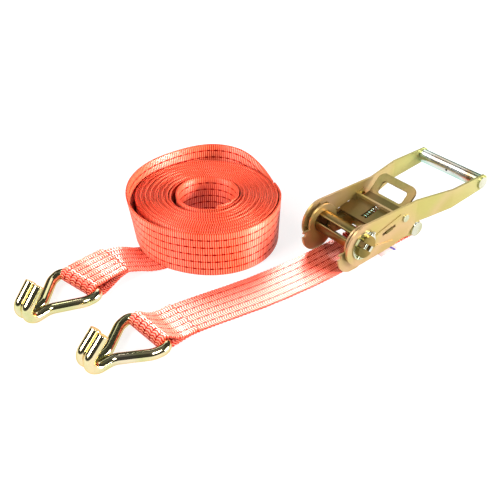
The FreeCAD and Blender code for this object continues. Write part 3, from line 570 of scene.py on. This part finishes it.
def short_strap():
    """One piece of webbing: sewn end, round the hook's bar, along the floor, round the anchor
    bolt's tube, and back to the other sewn end."""
    bar = joint_place("short_hook_swing")
    bar_axis = joint_axis("short_hook_swing")
    anchor = joint_place("short_strap_swing")
    flap = [Vector((bar.x + 39 * MM, bar.y + 1 * MM, LAID + THICK * 1.05)),
            Vector((bar.x + 26 * MM, bar.y + 0.8 * MM, LAID + THICK * 1.1)),
            bar + Vector((15 * MM, 0, -1.6 * MM))]
    hook_turn = arc(bar, HOOK_LOOP, 62, 268, bar_axis)
    # The run's places, from the hook along the floor to under the buckle.
    run = [hook_turn[-1] + Vector((8 * MM, 0, 0)),
           Vector((-0.200, 0.0190, LAID)), Vector((-0.175, 0.0162, LAID)),
           Vector((-0.145, 0.0108, LAID + 0.2 * MM)), Vector((-0.112, 0.0052, LAID + 0.4 * MM)),
           Vector((-0.075, 0.0016, LAID + 0.3 * MM)), Vector((-0.040, 0.0, LAID)),
           Vector((0.0, 0.0, LAID)), Vector((0.045, 0.0, LAID))]
    anchor_turn = arc(anchor, ANCHOR_LOOP, -92, 110, LEFT, step=1.5 * MM)
    tail = [anchor + Vector((-17 * MM, 0, -1.5 * MM)), anchor + Vector((-29 * MM, 0, -8.2 * MM)),
            Vector((0.050, 0, LAID + THICK * 1.3)), Vector((0.031, 0, LAID + THICK * 1.08))]
    first = smooth([*flap, hook_turn[0]])[:-1]
    middle = smooth([hook_turn[-1], *run, anchor_turn[0]])[1:-1]
    last = smooth([anchor_turn[-1], *tail])[1:]
    line = first + hook_turn + middle + anchor_turn + last
    round_hook = len(first) + len(hook_turn)
    sides = same_handed([bar_axis] * round_hook + turned_from(bar_axis, level_across(middle), 12)
                        + [LEFT] * (len(anchor_turn) + len(last)))

    def ripple(i, share):
        """The run isn't quite flat: its selvedges lift a little here and there."""
        x = line[i].x
        if i < round_hook or not RIPPLE_START <= x <= RIPPLE_END:
            return Vector((0, 0, 0))
        fade = math.sin(math.pi * (x - RIPPLE_START) / (RIPPLE_END - RIPPLE_START)) ** 2
        ripples = 1 + math.sin(x * RIPPLE_RATE + share * 2.0)
        return UP * (RIPPLE_HEIGHT * fade * abs(share) * ripples)

    strap, length = ribbon("short_strap_webbing", line, sides, columns=10, scallop=0.020,
                           sink=ripple)
    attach(strap, "short_strap")
    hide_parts("short_strap_run", "short_strap_anchor_loop", "short_strap_hook_loop")


# ---- long strap -------------------------------------------------------------------------------

# The coil's turns are counted from its first wound one: the turns below 0 are loose in its hole.
COIL_START, COIL_END = -1.86, 15.40
COIL_INNER = 42.0 * MM
COIL_PITCH = 2.56 * MM
COIL_BEARING = math.radians(200)
STEPS_PER_TURN = 110
HOLE_SHIFT = Vector((4.6, 4.2, 0)) * MM
LOOSE_SHIFT = Vector((3.4, 0.6, 0)) * MM
LOOSE_GAP, LOOSE_EXTRA_PITCH = 1.7 * MM, 1.5 * MM

# The wound turns lean outwards a little, and inwards round the front.
FRONT_BEARING = math.radians(234)
LEAN_OUT, LEAN_IN = 0.06, 0.16

# The last turn: how high it stands, between which degrees it rises and comes down, the two
# places where it bulges, each with its bearing and spread in degrees, and how much more it
# leans there. Its very end is pressed in against the turn inside it.
BACK_LIFT = 12.5 * MM
BACK_RISE, BACK_FALL = (-15, 30), (128, 205)
LAST_TURN_GAP = 1.2 * MM
BACK_BULGE, BACK_BULGE_AT, BACK_BULGE_SPREAD = 12.0 * MM, 45, 26
LEFT_BULGE, LEFT_BULGE_AT, LEFT_BULGE_SPREAD = 6.5 * MM, 172, 34
BACK_LEAN, LEFT_LEAN = 0.05, 0.08
END_PRESS, END_TURNS = 1.6 * MM, 0.05


def soft_step(low, high, value):
    """0 at low, 1 at high and a smooth change between; low may be the larger of the two."""
    share = min(1.0, max(0.0, (value - low) / (high - low)))
    return share * share * (3 - 2 * share)


def bell(value, middle, spread):
    return math.exp(-((value - middle) / spread) ** 2)


def wobble(turn):
    """How far the uneven turns stand above the flat."""
    return max(0.0, 0.55 * MM * math.sin(turn * 2.7) + 0.4 * MM * math.sin(turn * 9.1) + 0.3 * MM)


def oval_share(bearing):
    """How much further out than a circle the last turn is at a bearing, as a share."""
    return (0.060 * math.cos(bearing) + 0.038 * math.sin(bearing) - 0.030 * math.cos(2 * bearing)
            + 0.012 * math.sin(3 * bearing + 0.6))


def coil_point(turn, centre, middle):
    """A point of the coil's centre line, and the direction of the webbing's width there. The
    turns below 0 are loose in the hole, the wound turns are a little oval and lean, and the
    last one stands away from the others and above them at the back."""
    angle = turn * math.tau + COIL_BEARING
    bearing = angle % math.tau
    wound = min(1.0, max(0.0, turn / COIL_END))
    loose = soft_step(0.0, 0.45, -turn)
    radius = (COIL_INNER + COIL_PITCH * turn) * (1 + wound ** 0.7 * oval_share(bearing))
    radius -= (LOOSE_GAP - LOOSE_EXTRA_PITCH * turn) * loose
    shift = HOLE_SHIFT * (1 - wound) ** 1.2 + LOOSE_SHIFT * loose
    lean = wound * (LEAN_OUT - LEAN_IN * max(0.0, math.cos(bearing - FRONT_BEARING)))
    lift = 0.0
    before_end = COIL_END - turn
    if before_end < 1.0:
        degrees = (math.degrees(bearing) + 20) % 360 - 20
        rise = soft_step(*BACK_RISE, degrees) * (1 - soft_step(*BACK_FALL, degrees))
        left = bell(degrees, LEFT_BULGE_AT, LEFT_BULGE_SPREAD)
        lift = BACK_LIFT * rise
        radius += BACK_BULGE * bell(degrees, BACK_BULGE_AT, BACK_BULGE_SPREAD)
        radius += LEFT_BULGE * left + LAST_TURN_GAP
        lean += BACK_LEAN * rise + LEFT_LEAN * left
    radius -= END_PRESS * soft_step(END_TURNS, 0.0, before_end)
    outward = Vector((math.cos(angle), math.sin(angle), 0))
    place = centre + shift + outward * radius
    place.z = middle + lift + wobble(turn)
    return place, (UP + outward * lean).normalized()


def long_coil():
    """The wound part of the long strap: a flat spiral on its edge."""
    low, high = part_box("long_strap_coil")
    centre = (low + high) / 2
    middle = FLOOR + WIDTH / 2 + 0.2 * MM
    count = int((COIL_END - COIL_START) * STEPS_PER_TURN)
    points = [coil_point(COIL_START + i / STEPS_PER_TURN, centre, middle)
              for i in range(count + 1)]
    strap, length = ribbon("long_strap_coiled", [place for place, _ in points],
                           [side for _, side in points], thick=WOUND_THICK, columns=6,
                           material="webbing_wound")
    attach(strap, "long_strap")
    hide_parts("long_strap_coil")


def long_tail():
    """The end of the long strap: its sewn end, round the hook's bar, over a low arch and under
    the coil."""
    bar = joint_place("long_hook_swing")
    bar_axis = joint_axis("long_hook_swing")
    flap = [Vector((-0.2040, 0.1300, LAID + 14.6 * MM)),
            Vector((-0.2160, 0.1290, LAID + 14.4 * MM)),
            Vector((-0.2300, 0.1270, LAID + 14.8 * MM))]
    hook_turn = arc(bar, HOOK_LOOP, 75, 262, bar_axis)
    # The tail's places, from the hook over the arch to under the coil.
    run = [Vector((-0.2380, 0.1260, LAID + 0.6 * MM)), Vector((-0.2260, 0.1275, LAID + 4.5 * MM)),
           Vector((-0.2130, 0.1285, LAID + 10.0 * MM)), Vector((-0.2000, 0.1285, LAID + 12.0 * MM)),
           Vector((-0.1860, 0.1265, LAID + 8.5 * MM)), Vector((-0.1720, 0.1245, LAID + 3.0 * MM)),
           Vector((-0.1560, 0.1235, LAID)), Vector((-0.1250, 0.1235, LAID))]
    first = smooth([*flap, hook_turn[0]])[:-1]
    last = smooth([hook_turn[-1], *run])[1:]
    sides = same_handed([bar_axis] * (len(first) + len(hook_turn))
                        + turned_from(bar_axis, level_across(last), 14))
    strap, length = ribbon("long_strap_end", first + hook_turn + last, sides, columns=10,
                           scallop=0.010)
    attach(strap, "long_strap")
    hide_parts("long_strap_tail", "long_strap_hook_loop")


short_strap()
long_coil()
long_tail()

# ---- floor ------------------------------------------------------------------------------------

FLOOR_TONES = (0.30, 0.30, 0.298, 1), (0.28, 0.28, 0.276, 1)
FLOOR_GLOW = 0.82


def make_floor():
    """A wide pale floor just under the object. It glows a little, so that it looks white where
    the object's shadow is soft."""
    bpy.ops.mesh.primitive_plane_add(size=40.0, location=(0, 0, FLOOR - 0.1 * MM))
    floor = bpy.context.object
    floor.name = "floor"
    shader = Shader("floor_paint")
    tone = shader.product(shader.noise(3.0, detail=1.0), 0.1)
    shader.set(Base_Color=shader.mix(tone, *FLOOR_TONES), Roughness=0.9,
               Emission_Color=(1, 1, 1, 1), Emission_Strength=FLOOR_GLOW)
    floor.data.materials.append(shader.material)


# ---- light ------------------------------------------------------------------------------------

# The sky's grey level from the ground up to straight overhead, as (height from 0 to 1, level).
SKY_LEVELS = [(0.0, 0.6), (0.06, 0.12), (0.18, 0.03), (0.40, 0.08), (0.85, 0.05), (1.0, 0.25)]
SKY_STRENGTH = 0.9
LIGHT_TARGET = (-0.06, 0.03, FLOOR + 0.02)

# name, (x, y, height above the floor), width, height, power, and what it lights if not all
SOFTBOXES = [
    ("back", (1.35, 1.65, 1.55), 1.6, 1.6, 285, "webbing_orange"),
    ("back_wound", (1.35, 1.65, 1.55), 1.5, 1.5, 24, "webbing_wound"),
    ("right_wound", (1.11, -1.41, 0.50), 0.6, 0.9, 115, "webbing_wound"),
    ("left_wound", (-1.64, 0.82, 0.50), 0.9, 0.7, 40, "webbing_wound"),
    ("back_fill", (1.35, 1.65, 1.55), 1.6, 1.6, 12, None),
    ("front", (-0.35, -1.30, 1.70), 0.7, 0.7, 32, "all_but_coil"),
    ("right", (1.11, -1.41, 0.50), 1.3, 0.5, 75, None),
    ("left", (-1.60, 0.10, 1.00), 0.7, 0.7, 30, None),
    ("top", (-0.6, 1.1, 1.56), 0.9, 0.9, 16, None),
]


def make_sky():
    """A dim sky for the metal to reflect, which the camera itself sees as white."""
    world = bpy.data.worlds.new("studio")
    bpy.context.scene.world = world
    world.use_nodes = True
    nodes = world.node_tree.nodes
    links = world.node_tree.links
    axes = nodes.new("ShaderNodeSeparateXYZ")
    links.new(nodes.new("ShaderNodeTexCoord").outputs["Generated"], axes.inputs[0])
    ramp = nodes.new("ShaderNodeValToRGB")
    fill_ramp(ramp.color_ramp, [(height, (level, level, level)) for height, level in SKY_LEVELS])
    links.new(axes.outputs["Z"], ramp.inputs["Fac"])
    backdrop = nodes.new("ShaderNodeMix")
    backdrop.data_type = "RGBA"
    links.new(nodes.new("ShaderNodeLightPath").outputs["Is Camera Ray"],
              backdrop.inputs["Factor"])
    links.new(ramp.outputs["Color"], backdrop.inputs["A"])
    backdrop.inputs["B"].default_value = (1, 1, 1, 1)
    links.new(backdrop.outputs["Result"], nodes["Background"].inputs["Color"])
    nodes["Background"].inputs["Strength"].default_value = SKY_STRENGTH


def make_softboxes():
    """Area lights round the object; some are flagged off all but one kind of piece."""
    for name, node in NODES.items():
        if SLOTS[name] != "webbing_orange":
            LIT["all_but_coil"].objects.link(node)
    for strap in LIT["webbing_orange"].objects:
        LIT["all_but_coil"].objects.link(strap)
    for name, (x, y, above), width, height, power, lit in SOFTBOXES:
        data = bpy.data.lights.new(name, "AREA")
        data.shape = "RECTANGLE"
        data.size = width
        data.size_y = height
        data.energy = power
        light = bpy.data.objects.new(name, data)
        if lit is not None:
            light.light_linking.receiver_collection = LIT[lit]
        bpy.context.scene.collection.objects.link(light)
        look_from(light, (x, y, FLOOR + above), LIGHT_TARGET)


make_floor()
make_sky()
make_softboxes()
